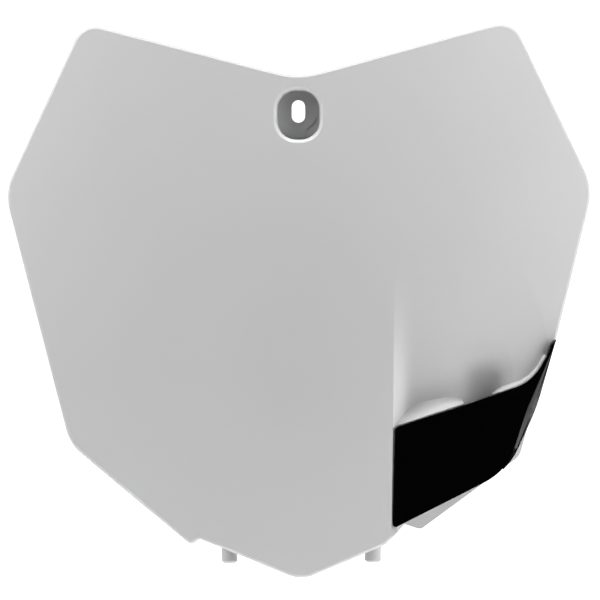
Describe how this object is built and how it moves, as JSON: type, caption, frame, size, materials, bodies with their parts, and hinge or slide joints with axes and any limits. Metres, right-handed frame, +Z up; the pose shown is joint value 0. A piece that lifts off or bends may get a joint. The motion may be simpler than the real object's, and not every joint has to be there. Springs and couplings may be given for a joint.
{
  "type": "motorcycle front number board",
  "caption": "Crowned white front number board with a slotted fixing cup, locating pegs and a black cover over its brake hose channel.",
  "frame": {"origin": "centre of the upper fixing slot, on the flat back of the fixing cup", "axes": "+X to the viewer's right across the board, +Y backwards out of the seat, +Z up the board"},
  "size_m": [0.2851, 0.0381, 0.2694],
  "materials": {
    "white_plastic": "satin moulded white polypropylene",
    "black_plastic": "satin moulded black polypropylene",
    "screw_steel": "zinc plated"
  },
  "bodies": {
    "root": {"number_plate": "white_plastic", "hose_cover": "black_plastic", "cover_screws": "screw_steel"}
  },
  "joints": []
}
